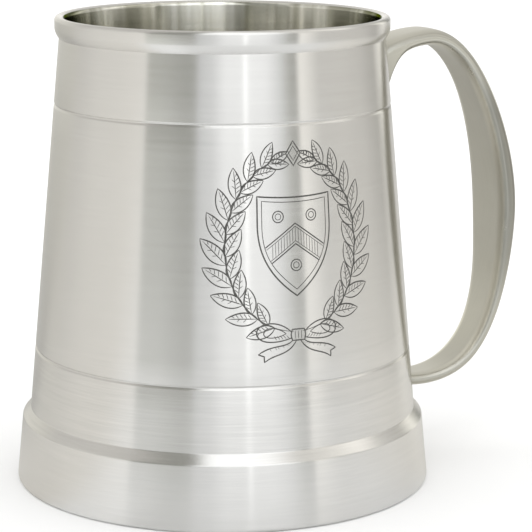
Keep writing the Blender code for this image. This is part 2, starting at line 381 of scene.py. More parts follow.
def stations():
    """Evenly spaced (outer, inner, width, length so far) along the strap."""
    points = spine()
    run = [0.0]
    for a, b in zip(points, points[1:]):
        run.append(run[-1] + (b - a).length)
    made = []
    j = 0
    for i in range(STRAP_RINGS):
        share = i / (STRAP_RINGS - 1)
        want = run[-1] * i / (STRAP_RINGS - 1)
        while j < len(run) - 2 and run[j + 1] < want:
            j += 1
        centre = points[j].lerp(points[j + 1], (want - run[j]) / (run[j + 1] - run[j]))
        tangent = (points[min(j + 4, len(points) - 1)] - points[max(j - 3, 0)]).normalized()
        outward = Vector((-tangent.y, tangent.x))
        half = eased(THICK, share) / 2
        outer = centre + outward * half
        inner = centre - outward * half
        if share < ROOT_SHARE:
            away = max(inner.x - wall_r(inner.y), 0.0)
            inner = inner - Vector((0.0, ROOT_DROP * math.exp(-((away / ROOT_REACH) ** 1.3))))
        made.append((outer, inner, eased(WIDTHS, share), want))
    return made


def section(outer, inner, width):
    """One ring of the strap: crowned outer face, faces rolled over into the edges."""
    centre = (outer + inner) / 2
    out = (outer - inner).normalized()
    half_t = (outer - inner).length / 2
    half_w = width / 2
    deep, wide = min(EDGE, half_t * 0.92), min(ROLL, half_w * 0.5)
    flat_w, flat_t = half_w - wide, half_t - deep
    ring = []
    corners = ((1, 1, 0), (-1, 1, 90), (-1, -1, 180), (1, -1, 270))
    for k, (side_w, side_t, start) in enumerate(corners):
        for i in range(CORNER_STEPS + 1):
            angle = math.radians(start + 90 * i / CORNER_STEPS)
            across = side_w * flat_w + wide * math.cos(angle)
            ring.append((across, side_t * flat_t + deep * math.sin(angle)))
        next_w, next_t, _ = corners[(k + 1) % 4]
        a = ring[-1]
        if k in (0, 2):
            b, steps = (next_w * flat_w, a[1]), FACE_STEPS
        else:
            b, steps = (a[0], next_t * flat_t), SIDE_STEPS
        for i in range(1, steps):
            t = i / steps
            ring.append((a[0] + (b[0] - a[0]) * t, a[1] + (b[1] - a[1]) * t))
    made = []
    for across, through in ring:
        if through > 0:
            through += CROWN * (1 - (across / half_w) ** 2)
        at = centre + out * through
        made.append(Vector((at.x, across, at.y)))
    return made


def over_wall(p):
    """How far a point stands outside the drum's surface."""
    return math.hypot(p.x, p.y) - wall_r(p.z)


def sink(p, depth):
    """The point moved in x so that it lies `depth` under the drum's surface."""
    r = wall_r(p.z) - depth
    return Vector((math.sqrt(r * r - p.y * p.y), p.y, p.z))


def strap_rings():
    """The strap's rings from top to bottom, and the length along it of each."""
    rings, runs = [], []
    for outer, inner, width, run in stations():
        ring = section(outer, inner, width)
        rings.append([p if over_wall(p) > -SUNK else sink(p, SUNK) for p in ring])
        runs.append(run)
    first = [sink(p, END_SUNK) for p in rings[0]]
    last = [sink(p, END_SUNK) for p in rings[-1]]
    return [first, *rings, last], [runs[0] - END_RUN, *runs, runs[-1] + END_RUN]


def strap_mesh(name, rings, runs):
    """The strap, unrolled into the UV map: u round its girth, v along its length."""
    bm = bmesh.new()
    uv = bm.loops.layers.uv.new("brush")
    rows = [[bm.verts.new(p * MM) for p in ring] for ring in rings]
    count = len(rows[0])
    girth = []
    for ring in rings:
        lengths = [0.0]
        for i in range(count):
            lengths.append(lengths[-1] + (ring[(i + 1) % count] - ring[i]).length)
        girth.append(lengths)
    for k in range(len(rows) - 1):
        near, far = girth[k], girth[k + 1]
        for i, face in enumerate(bridge(bm, rows[k], rows[k + 1])):
            us = (near[i], near[i + 1], far[i + 1], far[i])
            vs = (runs[k], runs[k], runs[k + 1], runs[k + 1])
            for loop, u, v in zip(face.loops, us, vs):
                loop[uv].uv = (u / UV_UNIT, v / UV_UNIT)
    for row, flip in ((rows[0], True), (rows[-1], False)):
        centre = bm.verts.new(sum((v.co for v in row), Vector()) / count)
        for i in range(count):
            j = (i + 1) % count
            bm.faces.new((row[j], row[i], centre) if flip else (row[i], row[j], centre))
    return solid_mesh(bm, name)


def crossing(line):
    """Where a line along the strap comes out of the drum, and its direction there."""
    for a, b in zip(line, line[1:]):
        height_a, height_b = over_wall(a), over_wall(b)
        if height_a <= 0.0 < height_b:
            return a.lerp(b, -height_a / (height_b - height_a)), (b - a).normalized()
    raise RuntimeError("a line of the strap never meets the drum")


def fillet_mesh(name, rings, reach, seed):
    """A concave run of solder round the strap where it meets the drum."""
    joint = [crossing(line) for line in zip(*rings)]
    count = len(joint)
    middle = sum((p for p, _ in joint), Vector()) / count
    rnd = random.Random(seed)
    phases = [rnd.uniform(0, 6.28) for _ in range(3)]
    bm = bmesh.new()
    rows = []
    steps = 8
    for j, (p, along) in enumerate(joint):
        wall = Vector((p.x, p.y, TAPER * math.hypot(p.x, p.y))).normalized()
        around = (joint[(j + 1) % count][0] - joint[j - 1][0]).normalized()
        side = around.cross(wall)
        if side.dot(p - middle) < 0:
            side = -side
        side = (side - wall * side.dot(wall)).normalized()
        out = along.cross(around)
        if out.dot(side) < 0:
            out = -out
        out = out.normalized()
        turn = 2 * math.pi * j / count
        ripple = 0.10 * math.sin(3 * turn + phases[0])
        size = reach * (1 + ripple + 0.06 * math.sin(7 * turn + phases[1]))
        up, down = p + along * size, p + side * size
        ring = []
        for i in range(steps + 1):
            t = i / steps
            ring.append(up * (1 - t) ** 2 + p * (2 * t * (1 - t)) + down * t * t)
        # the bead's edges and back are buried in the strap and the drum
        ring[0] = up - out * 0.02
        ring[-1] = down - wall * 0.02
        ring += [down - wall * 0.25, p - wall * 0.3 - out * 0.25, up - out * 0.25]
        rows.append([bm.verts.new(q * MM) for q in ring])
    for row, after in zip(rows, rows[1:] + rows[:1]):
        bridge(bm, row, after)
    return solid_mesh(bm, name, sharp=60)


# ---------------------------------------------------------------- the engraving
# The design is flat, in millimetres from its centre: +x to the right as seen, +y up.
ENGRAVE_Z = 66.6          # height of the design's centre
LINE = 0.41               # width of a full stroke
STROKE_STEP = 0.7         # longest piece of a stroke
# a stroke's cross-section: share of its half width, height over the drum
STROKE_SECTION = ((1, -0.05), (0.72, 0.012), (-0.72, 0.012), (-1, -0.05))
CUBIC_STEPS = 14

# wreath branch: half axes of its ellipse, lift of its centre, end angles in degrees
BRANCH_A, BRANCH_B = 17.6, 20.6
BRANCH_LIFT = 0.8
BRANCH_START, BRANCH_END = -82.0, 72.0
LEAF_PAIRS = 10
LEAF_LENGTH, LEAF_WIDTH = 8.7, 3.6
# hatching of a leaf: side of the midrib, count, then in shares of the leaf's length the
# first line's place and the pitch; depth in leaf widths, phase, slant, line weight
LEAF_HATCHING = (
    (-1, 5, 0.20, 0.13, 0.40, 0.14, 0.11, 0.55),
    (1, 2, 0.34, 0.20, 0.30, 0.10, 0.10, 0.45),
)

BOW_Y = -20.6
LOZENGE_Y = 21.9

SHIELD_EDGE = dict(half_width=9.4, top=12.2, shoulder=5.6, tip=-11.4)
SHIELD_FIELD = dict(half_width=8.3, top=11.1, shoulder=5.4, tip=-9.9)
CHEVRON_SLOPE = 0.72
CHEVRON_TOP, CHEVRON_LOW = 4.9, 1.5          # apexes of the hatched band's edges
# apex height and weight of each chevron line
CHEVRON_LINES = ((5.6, 0.95), (CHEVRON_TOP, 0.5), (CHEVRON_LOW, 0.5), (0.8, 0.95))
CHEVRON_HATCH_PITCH = 0.72
ROUNDELS = ((-4.3, 7.3), (4.3, 7.3), (0.0, -4.2))


def quad(p0, p1, p2, steps=10):
    out = []
    for i in range(steps + 1):
        t = i / steps
        s = 1 - t
        x = p0[0] * s * s + 2 * p1[0] * s * t + p2[0] * t * t
        out.append((x, p0[1] * s * s + 2 * p1[1] * s * t + p2[1] * t * t))
    return out


def cubic(p0, p1, p2, p3, steps=CUBIC_STEPS):
    out = []
    for i in range(steps + 1):
        t = i / steps
        s = 1 - t
        w0, w1, w2, w3 = s**3, 3 * s * s * t, 3 * s * t * t, t**3
        x = w0 * p0[0] + w1 * p1[0] + w2 * p2[0] + w3 * p3[0]
        out.append((x, w0 * p0[1] + w1 * p1[1] + w2 * p2[1] + w3 * p3[1]))
    return out


def stroke(points, weight=1.0, ends=1.0):
    """A line of the design. `ends` is the share of its width left at an open line's ends."""
    return points, LINE * weight, ends


def leaf(at, angle, length, width, side):
    """A laurel leaf: pointed outline, midrib and hatching, denser on one half."""
    cos, sin = math.cos(angle), math.sin(angle)

    def put(points):
        out = []
        for x, y in points:
            y *= side
            out.append((at[0] + x * cos - y * sin, at[1] + x * sin + y * cos))
        return out

    def flank(bulge):
        near = (length * 0.22, bulge * 0.72)
        far = (length * 0.66, bulge * 0.62 + bend)
        return put(cubic((0, 0), near, far, (length, bend)))

    bend = length * 0.05
    rib = quad((length * 0.02, 0), (length * 0.5, bend * 0.1), (length * 0.9, bend * 0.8))
    yield stroke(flank(width), weight=0.92, ends=0.5)
    yield stroke(flank(-width), weight=1.08, ends=0.5)
    yield stroke(put(rib), weight=0.72, ends=0.3)
    for half, count, first, pitch, depth, phase, slant, weight in LEAF_HATCHING:
        for k in range(count):
            x = length * (first + pitch * k)
            reach = half * width * depth * math.sin(math.pi * min(0.94, x / length + phase))
            bent = (x + length * 0.05, reach * 0.5)
            line = quad((x, half * 0.05), bent, (x + length * slant, reach), 4)
            yield stroke(put(line), weight=weight, ends=0.2)


def berry(at, radius, weight=0.8):
    """A small circle."""
    sides = 14
    angles = [2 * math.pi * i / sides for i in range(sides + 1)]
    ring = [(at[0] + radius * math.cos(a), at[1] + radius * math.sin(a)) for a in angles]
    return stroke(ring, weight=weight)


def branch(mirror):
    """One arm of the wreath, from the bow at the bottom up to its tip."""
    def at(t):
        angle = math.radians(BRANCH_START + (BRANCH_END - BRANCH_START) * t)
        squeeze = 1.0 - 0.05 * t
        x = mirror * BRANCH_A * squeeze * math.cos(angle)
        return (x, BRANCH_B * math.sin(angle) + BRANCH_LIFT)

    def heading(t):
        p, q = at(t - 0.01), at(t + 0.01)
        return math.atan2(q[1] - p[1], q[0] - p[0])

    yield stroke([at(-0.03 + 1.01 * i / 40) for i in range(41)], ends=0.4)
    for k in range(LEAF_PAIRS):
        t = 0.07 + 0.86 * k / (LEAF_PAIRS - 1)
        size = 1.0 - 0.30 * abs(t - 0.45) / 0.55
        length, width = LEAF_LENGTH * size, LEAF_WIDTH * size
        spread = mirror * math.radians(36 - 8 * t)
        yield from leaf(at(t), heading(t) - spread, length, width, -mirror)
        t += 0.035
        yield from leaf(at(t), heading(t) + spread, length * 0.86, width * 0.9, mirror)
    # the tip's last leaf carries on along the stem
    yield from leaf(at(0.985), heading(0.97), 5.2, 2.2, mirror)


def bow_knot():
    knot = [(-1.5, 1.3), (1.5, 1.3), (1.8, 0), (1.5, -1.3), (-1.5, -1.3), (-1.8, 0), (-1.5, 1.3)]
    yield stroke([(x, BOW_Y + y) for x, y in knot])
    for x in (-0.7, 0.0, 0.7):
        crease = quad((x, BOW_Y + 1.0), (x * 1.25, BOW_Y), (x, BOW_Y - 1.0), 4)
        yield stroke(crease, weight=0.5, ends=0.4)


def bow_half(mirror):
    """One loop and one tail of the ribbon."""
    def at(x, y):
        return (mirror * x, BOW_Y + y)

    loop = cubic(at(1.7, 0.7), at(5.0, 4.4), at(10.8, 3.2), at(9.8, 0.2))
    loop += cubic(at(9.8, 0.2), at(8.8, -2.0), at(4.6, -1.6), at(1.7, -0.7))[1:]
    yield stroke(loop, ends=0.8)
    inner = cubic(at(3.0, 0.4), at(5.4, 2.6), at(8.9, 2.1), at(8.2, 0.3))
    inner += cubic(at(8.2, 0.3), at(7.6, -0.7), at(5.0, -0.6), at(3.0, 0.4))[1:]
    yield stroke(inner, weight=0.7)
    for k in range(5):
        x = 2.2 + 0.75 * k
        fold = quad(at(x, -0.75 - 0.07 * k), at(x + 0.5, -0.35), at(x + 0.7, 0.05), 4)
        yield stroke(fold, weight=0.45, ends=0.2)

    upper = cubic(at(1.3, -1.2), at(3.4, -3.2), at(6.2, -1.7), at(9.6, -4.2))
    lower = cubic(at(0.5, -1.3), at(2.6, -5.0), at(5.6, -3.9), at(8.2, -6.1))
    yield stroke(upper, ends=0.6)
    yield stroke(lower, ends=0.6)
    yield stroke([at(9.6, -4.2), at(8.25, -4.7), at(8.2, -6.1)], ends=0.8)
    for k in range(6):
        i = int((0.16 + 0.12 * k) * CUBIC_STEPS)
        p, q = upper[i], lower[i]
        end = (p[0] * 0.62 + q[0] * 0.38, p[1] * 0.62 + q[1] * 0.38)
        bent = ((p[0] + end[0]) / 2 + mirror * 0.12, (p[1] + end[1]) / 2)
        yield stroke([p, bent, end], weight=0.45, ends=0.2)


def shield_flank(half_width, shoulder, tip):
    """The shield's right side, from its shoulder down to its tip."""
    high = (half_width, shoulder - 7.6)
    low = (half_width * 0.62, tip + 4.2)
    return cubic((half_width, shoulder), high, low, (0, tip), 20)


def shield_outline(half_width, top, shoulder, tip):
    right = shield_flank(half_width, shoulder, tip)
    left = [(-x, y) for x, y in reversed(right)]
    head = quad((-half_width, top), (0, top - 1.0), (half_width, top))
    return [(-half_width, shoulder)] + head + right + left[1:]


def shield():
    """A heater shield: double outline, hatched chevron and three double roundels."""
    half_width, shoulder, tip = (SHIELD_FIELD[key] for key in ("half_width", "shoulder", "tip"))
    edge = shield_flank(half_width, shoulder, tip)

    def reach(y):
        """Half the width of the field at a height above its tip."""
        for (xa, ya), (xb, yb) in zip(edge, edge[1:]):
            if yb <= y <= ya:
                return xa + (xb - xa) * (ya - y) / (ya - yb)
        return half_width

    yield stroke(shield_outline(**SHIELD_EDGE), weight=1.15)
    yield stroke(shield_outline(**SHIELD_FIELD), weight=0.6)
    for apex, weight in CHEVRON_LINES:
        arm = []
        x = 0.0
        while x < reach(apex - CHEVRON_SLOPE * x):
            arm.append((x, apex - CHEVRON_SLOPE * x))
            x += 0.25
        mirrored = [(-x, y) for x, y in reversed(arm[1:])]
        yield stroke(mirrored + arm, weight=weight, ends=0.9)
    for k in range(-10, 11):
        x = k * CHEVRON_HATCH_PITCH
        top = CHEVRON_TOP - CHEVRON_SLOPE * abs(x)
        low = CHEVRON_LOW - CHEVRON_SLOPE * abs(x)
        if abs(x) < reach(low):
            yield stroke([(x, top), (x, (top + low) / 2), (x, low)], weight=0.42, ends=0.6)
    for place_on_field in ROUNDELS:
        yield berry(place_on_field, radius=1.35, weight=0.85)
        yield berry(place_on_field, radius=0.72, weight=0.6)


def lozenge():
    """A small double diamond between the branch tips, with a berry on each side."""
    for size, weight in ((2.3, 1.0), (1.35, 0.65)):
        top = (0, LOZENGE_Y + size * 1.25)
        low = (0, LOZENGE_Y - size * 1.25)
        right, left = (size * 0.85, LOZENGE_Y), (-size * 0.85, LOZENGE_Y)
        yield stroke([top, right, low, left, top], weight=weight)
    for mirror in (-1, 1):
        yield berry((mirror * 3.3, LOZENGE_Y), radius=0.5)


def engraving_strokes():
    for mirror in (-1, 1):
        yield from branch(mirror)
    yield from bow_knot()
    for mirror in (-1, 1):
        yield from bow_half(mirror)
    yield from shield()
    yield from lozenge()


def on_drum(u, v, lift):
    """A point of the flat design wrapped round the drum's front."""
    z = ENGRAVE_Z + v
    r = wall_r(z) + lift
    angle = -math.pi / 2 + u / wall_r(ENGRAVE_Z)
    return Vector((r * math.cos(angle), r * math.sin(angle), z))


def resample(points):
    """The polyline with its points no more than a step apart."""
    out = [points[0]]
    for (xa, ya), (xb, yb) in zip(points, points[1:]):
        pieces = max(1, math.ceil(math.hypot(xb - xa, yb - ya) / STROKE_STEP))
        for i in range(1, pieces + 1):
            out.append((xa + (xb - xa) * i / pieces, ya + (yb - ya) * i / pieces))
    return out


def engraving_mesh(name):
    """Each stroke is a shallow closed bar let into the surface, thinner at its ends."""
    bm = bmesh.new()
    for points, width, ends in engraving_strokes():
        line = resample(points)
        closed = math.hypot(line[0][0] - line[-1][0], line[0][1] - line[-1][1]) < 1e-4
        if closed:
            line = line[:-1]
        count = len(line)
        rows = []
        for i, (u, v) in enumerate(line):
            before = line[i - 1] if (i or closed) else line[0]
            after = line[(i + 1) % count] if (i < count - 1 or closed) else line[-1]
            du, dv = after[0] - before[0], after[1] - before[1]
            size = math.hypot(du, dv)
            normal = (-dv / size, du / size)
            half = width / 2
            if not closed:
                t = i / (count - 1)
                half *= ends + (1 - ends) * min(1.0, math.sin(math.pi * t) * 1.6)
            ring = []
            for share, lift in STROKE_SECTION:
                p = on_drum(u + normal[0] * half * share, v + normal[1] * half * share, lift)
                ring.append(bm.verts.new(p * MM))
            rows.append(ring)
        for row, after in zip(rows, rows[1:]):
            bridge(bm, row, after)
        if closed:
            bridge(bm, rows[-1], rows[0])
        else:
            bm.faces.new(rows[0][::-1])
            bm.faces.new(rows[-1])
    return solid_mesh(bm, name, smooth=False)


# ---------------------------------------------------------------- what the metal mirrors
CAMERA_TURN = 22.7      # degrees from the front (-Y) round towards -X

# Each stop: angle round from the camera's direction (degrees, positive to the right as the
# camera sees it), brightness, tint. First the tent at eye level.
TENT_LOW = (
    (-180, 1.05, "warm"), (-170, 0.95, "olive"), (-160, 0.88, "olive"), (-128, 0.86, "olive"),
    (-112, 0.80, "warm"), (-95, 0.94, "warm"), (-75, 0.97, "warm"), (-53.4, 1.10, "warm"),
    (-52.0, 0.44, "green"), (-30, 0.45, "green"), (-17.6, 0.42, "green"), (-16.2, 0.71, "cool"),
    (-7, 0.78, "cool"), (2, 1.32, "cool"), (14.1, 1.26, "cool"), (15.0, 4.20, "cool"),
    (15.9, 1.38, "cool"), (29, 1.33, "cool"), (38, 1.00, "cool"), (46.0, 0.54, "green"),
    (51.8, 0.28, "green"), (53.0, 1.50, "warm"), (58, 1.26, "warm"), (69, 0.82, "warm"),
    (108, 0.78, "warm"), (128, 0.58, "olive"), (141, 1.40, "olive"), (155, 0.30, "green"),
    (180, 1.05, "warm"),
)
# a little under eye level
TENT_SILL = (
    (-180, 0.62, "olive"), (-150, 0.58, "olive"), (-128, 0.72, "olive"), (-112, 0.90, "warm"),
    (-95, 1.00, "warm"), (-75, 1.08, "warm"), (-53.4, 1.15, "warm"), (-52.0, 0.98, "green"),
    (-43.0, 0.94, "green"), (-30, 0.60, "green"), (-19, 0.50, "green"), (-16.5, 0.84, "cool"),
    (-7, 0.92, "cool"), (2, 1.25, "cool"), (14.1, 1.28, "cool"), (15.0, 3.60, "cool"),
    (15.9, 1.28, "cool"), (29, 1.25, "cool"), (38, 0.92, "cool"), (46.0, 0.52, "green"),
    (51.8, 0.40, "green"), (53.0, 1.36, "warm"), (58, 1.18, "warm"), (69, 0.75, "warm"),
    (88, 0.74, "warm"), (108, 0.78, "warm"), (128, 0.60, "warm"), (141, 0.90, "warm"),
    (163, 0.80, "warm"), (180, 0.62, "warm"),
)
# and overhead
TENT_HIGH = (
    (-180, 0.85, "warm"), (-135, 0.72, "warm"), (-116, 0.75, "warm"), (-90, 0.80, "warm"),
    (-62, 0.68, "warm"), (-50, 0.36, "green"), (-24, 0.38, "green"), (-14, 1.75, "cool"),
    (44, 1.80, "cool"), (56, 0.85, "warm"), (84, 1.00, "warm"), (100, 1.85, "warm"),
    (114, 0.88, "warm"), (150, 0.72, "warm"), (180, 0.85, "warm"),
)
# the table top as the metal mirrors it, by angle round the mug
TABLE_TONE = (
    (-180, 0.50, "warm"), (-132, 0.50, "warm"), (-119, 0.68, "warm"), (-95, 0.82, "warm"),
    (-62, 0.92, "warm"), (-48, 1.12, "cool"), (-34, 1.16, "cool"), (-20, 0.96, "cool"),
    (0, 0.98, "cool"), (60, 1.00, "cool"), (95, 0.94, "warm"), (130, 0.80, "warm"),
    (180, 0.50, "warm"),
)
TINT = {
    "warm": (1.0, 0.984, 0.945),
    "cool": (0.983, 1.0, 1.02),
    "green": (0.985, 1.0, 0.925),
    "olive": (1.0, 0.985, 0.915),
}
WHITE = (1.0, 1.0, 1.0)


# ---------------------------------------------------------------- shader helpers
class Nodes:
    """Short hand for building a node tree. Values may be numbers, colours or sockets."""

    def __init__(self, tree):
        self.tree = tree

    def node(self, kind, inputs=None, **settings):
        node = self.tree.nodes.new(kind)
        for key, value in settings.items():
            setattr(node, key, value)
        for key, value in (inputs or {}).items():
            socket = node.inputs[key]
            if isinstance(value, bpy.types.NodeSocket):
                self.tree.links.new(value, socket)
            else:
                socket.default_value = value
        return node

    def coordinates(self, kind="Object"):
        return self.node("ShaderNodeTexCoord").outputs[kind]

    def geometry(self, kind):
        return self.node("ShaderNodeNewGeometry").outputs[kind]

    def is_mirrored(self):
        """1 for rays that a shiny surface sends out."""
        return self.node("ShaderNodeLightPath").outputs["Is Glossy Ray"]

    def split(self, vector):
        return self.node("ShaderNodeSeparateXYZ", {0: vector}).outputs

    def vector(self, x, y, z):
        return self.node("ShaderNodeCombineXYZ", {0: x, 1: y, 2: z}).outputs[0]

    def math(self, operation, a, b=0.0):
        return self.node("ShaderNodeMath", {0: a, 1: b, 2: 0.0}, operation=operation).outputs[0]

    def plus(self, total, *terms):
        for term in terms:
            total = self.math("ADD", total, term)
        return total

    def times(self, product, *factors):
        for factor in factors:
            product = self.math("MULTIPLY", product, factor)
        return product

    def minus(self, a, b):
        return self.math("SUBTRACT", a, b)

    def swing(self, noise, size):
        """Noise brought to swing about zero."""
        return self.times(self.minus(noise, 0.5), size)

    def noise(self, vector, scale=1.0, detail=2.0, rough=0.5, w=None):
        """Noise in three dimensions, or in four if `w` is given."""
        inputs = {"Vector": vector, "Scale": scale, "Detail": detail, "Roughness": rough}
        if w is not None:
            inputs["W"] = w
        dimensions = "3D" if w is None else "4D"
        return self.node("ShaderNodeTexNoise", inputs, noise_dimensions=dimensions).outputs[0]

    def remap(self, value, span, to=(0.0, 1.0), interpolation="LINEAR"):
        inputs = {
            "Value": value,
            "From Min": span[0],
            "From Max": span[1],
            "To Min": to[0],
            "To Max": to[1],
        }
        return self.node("ShaderNodeMapRange", inputs, interpolation_type=interpolation).outputs[0]

    def ease(self, value, span, to=(0.0, 1.0)):
        return self.remap(value, span, to, interpolation="SMOOTHSTEP")

    def scale_colour(self, colour, factor):
        inputs = {0: colour, 3: factor}
        return self.node("ShaderNodeVectorMath", inputs, operation="SCALE").outputs[0]

    def multiply_colours(self, a, b):
        return self.node("ShaderNodeVectorMath", {0: a, 1: b}, operation="MULTIPLY").outputs[0]

    def mix(self, factor, a, b):
        a, b = ((*c, 1.0) if isinstance(c, tuple) else c for c in (a, b))
        return self.node("ShaderNodeMix", {0: factor, 6: a, 7: b}, data_type="RGBA").outputs[2]

    def bump(self, height, distance, strength=1.0):
        inputs = {"Height": height, "Distance": distance, "Strength": strength}
        return self.node("ShaderNodeBump", inputs).outputs[0]


def round_angle(g, x, y):
    """Angle round from the camera's direction, as a share of a turn, for world x and y."""
    turn = math.radians(CAMERA_TURN)
    near = g.plus(g.times(x, -math.sin(turn)), g.times(y, -math.cos(turn)))
    side = g.plus(g.times(x, math.cos(turn)), g.times(y, -math.sin(turn)))
    return g.remap(g.math("ARCTAN2", side, near), span=(-math.pi, math.pi))


def tone_ramp(g, share, stops):
    """A colour ramp of a stop table; the ramp's own two stops serve as its ends."""
    node = g.node("ShaderNodeValToRGB", {0: share})
    node.color_ramp.interpolation = "LINEAR"
    elements = node.color_ramp.elements
    for angle, _, _ in stops[1:-1]:
        elements.new((angle + 180) / 360)
    for element, (_, level, tint) in zip(elements, stops):
        element.color = (*[level * c for c in TINT[tint]], 1.0)
    return node.outputs[0]


def new_material(name, preview):
    mat = bpy.data.materials.new(name)
    mat.use_nodes = True
    mat.node_tree.nodes.clear()
    mat.diffuse_color = (*preview, 1.0)
    return mat, Nodes(mat.node_tree)


def finish_material(g, colour, rough, normal, metallic=1.0, aniso=0.0, tangent=None, edge=None):
    """Metal, brushed along `tangent` and tinted by `edge` at low angles if they are given."""
    inputs = {
        "Base Color": colour,
        "Metallic": metallic,
        "Roughness": rough,
        "Normal": normal,
        "Anisotropic": aniso,
    }
    if tangent is not None:
        inputs["Tangent"] = tangent
        inputs["Anisotropic Rotation"] = 0.25
    if edge is not None:
        inputs["Specular Tint"] = edge
    bsdf = g.node("ShaderNodeBsdfPrincipled", inputs)
    g.node("ShaderNodeOutputMaterial", {"Surface": bsdf.outputs[0]})


# ---------------------------------------------------------------- materials
# Heights and lengths inside the shaders are in metres.
PEWTER = (0.652, 0.641, 0.617)
TARNISH = (0.56, 0.548, 0.512)
BRUSH_ALONG = 70.0      # noise scale along the brushing of the turned pieces
MOTTLE = 0.016          # their cloudy variation in tone

BORE_COLOUR = (0.70, 0.697, 0.655)
BORE_LOW_ANGLE = (0.09, 0.12, 0.015)        # tint at low angles near the lip
BORE_DEEP_ANGLE = (0.55, 0.54, 0.48)        # and deeper down
BORE_ROUGH = 0.15
# darkest and lightest of the bore's streaks, tarnish and painted reflection
BORE_TARNISH_AND_PAINTED_REFLECTION = ((0.56, 0.553, 0.49), (1.10, 1.09, 1.07))    # darkest, lightest


def bore_lining_and_painted_reflection(g, x, y, z, radius):
    """Mask, colour and low-angle tint of the drum's inside."""
    cone = g.plus(radius, g.times(z, TAPER))
    within = g.math("LESS_THAN", cone, (WALL_R0 - WALL_T * 0.5) * MM)
    # irregular streaks down the bore, only near the lip: tarnish and painted reflection
    spread = g.math("DIVIDE", 4.5, radius)
    where = g.vector(g.times(x, spread), g.times(y, spread), g.times(z, 4.0))
    run = g.noise(where, detail=3.0, rough=0.6)
    tarnish_and_painted_reflection = g.mix(g.ease(run, span=(0.36, 0.62)), *BORE_TARNISH_AND_PAINTED_REFLECTION)
    near_lip = g.ease(z, span=(0.086, 0.102))
    tarnish_and_painted_reflection = g.mix(near_lip, WHITE, tarnish_and_painted_reflection)
    lining = g.multiply_colours(BORE_COLOUR, tarnish_and_painted_reflection)
    edge = g.mix(within, WHITE, g.mix(near_lip, BORE_DEEP_ANGLE, BORE_LOW_ANGLE))
    return within, lining, edge


def turned_pewter(name, base, rough, fine, streak, coarse=900.0, aniso=1.0, bump=7e-7,
                  low_down=1.0, lined=False):
    """Satin pewter worked on a lathe: the brushing runs round the axis. `fine` and `coarse`
    are the scales across it and `streak` its contrast. `low_down` makes it stronger towards
    the foot and `lined` gives the drum's bore its own colour, roughness and low-angle tint,
    with tarnish and painted reflection streaks near the lip."""
    mat, g = new_material(name, base)
    where = g.coordinates()
    x, y, z = g.split(where)
    radius = g.math("SQRT", g.plus(g.times(x, x), g.times(y, y)))

    def brushed(across, along, detail, rough):
        vector = g.vector(g.times(x, along), g.times(y, along), g.times(z, across))
        return g.noise(vector, detail=detail, rough=rough, w=g.times(radius, across))

    hair = brushed(across=fine, along=BRUSH_ALONG, detail=2.0, rough=0.6)
    band = brushed(across=coarse, along=BRUSH_ALONG * 0.35, detail=3.0, rough=0.55)
    cloud = g.noise(where, scale=42.0, detail=3.0, rough=0.6)
    point = g.geometry("Pointiness")
    worn = g.remap(point, span=(0.52, 0.62))
    cavity = g.remap(point, span=(0.48, 0.40))

    brushing = g.plus(g.swing(hair, size=streak * 2), g.swing(band, size=streak * 1.4))
    brushing = g.times(brushing, g.ease(z, span=(0.024, 0.048), to=(low_down, 1.0)))
    tone = g.plus(brushing, g.swing(cloud, size=MOTTLE * 2), g.times(worn, 0.05))
    tone = g.plus(1.0, tone)
    # tarnish in clouds, and darker in the hollows
    colour = g.mix(g.remap(cloud, span=(0.52, 0.78), to=(0.0, 0.16)), base, TARNISH)
    colour = g.mix(g.times(cavity, 0.55), colour, tuple(c * 0.62 for c in TARNISH))
    rough_now = g.plus(rough, g.swing(band, size=0.10))
    rough_now = g.minus(rough_now, g.times(worn, 0.06))
    edge = None
    if lined:
        within, lining, edge = bore_lining_and_painted_reflection(g, x, y, z, radius)
        colour = g.mix(within, colour, lining)
        rough_now = g.plus(rough_now, g.times(within, BORE_ROUGH - rough))
    colour = g.scale_colour(colour, tone)
    normal = g.bump(g.plus(hair, g.times(band, 0.7)), distance=bump)
    tangent = g.node("ShaderNodeTangent", direction_type="RADIAL", axis="Z").outputs[0]
    finish_material(g, colour, rough_now, normal, aniso=aniso, tangent=tangent, edge=edge)
    return mat


def strap_painted_shade_and_highlights(g, tone, height):
    """Painted shade and highlights on the strap's tone, by height and by sideways facing."""
    aside = g.math("ABSOLUTE", g.split(g.geometry("Normal"))[1])
    # painted shade: the narrow sides are darker than the faces, least of all low down
    painted_side_shade = g.times(
        g.ease(height, span=(0.034, 0.055), to=(0.19, 0.46)),
        g.ease(height, span=(0.090, 0.107), to=(1.0, 0.0)),
        g.ease(aside, span=(0.40, 0.85)),
    )
    tone = g.times(tone, g.minus(1.0, painted_side_shade))
    # painted highlights: the rolled shoulders are a little lighter near both ends
    lower = g.times(
        g.ease(height, span=(0.0205, 0.0262), to=(0.10, 0.55)),
        g.ease(height, span=(0.0275, 0.040), to=(1.0, 0.75)),
        g.ease(height, span=(0.040, 0.062), to=(1.0, 0.12)),
    )
    upper = g.times(
        g.ease(height, span=(0.070, 0.093), to=(0.05, 0.45)),
        g.ease(height, span=(0.095, 0.104), to=(1.0, 0.0)),
    )
    shoulder = g.times(
        g.ease(aside, span=(0.02, 0.28)),
        g.ease(aside, span=(0.52, 0.82), to=(1.0, 0.0)),
    )
    ends = g.math("MAXIMUM", lower, upper)
    tone = g.times(tone, g.plus(1.0, g.times(ends, shoulder)))
    # and painted shade: the edges of the top arch are darker
    painted_arch_shade = g.times(
        g.ease(aside, span=(0.40, 0.70), to=(0.0, 0.30)),
        g.ease(aside, span=(0.90, 0.99), to=(1.0, 0.0)),
        g.ease(height, span=(0.096, 0.105)),
    )
    return g.times(tone, g.minus(1.0, painted_arch_shade))


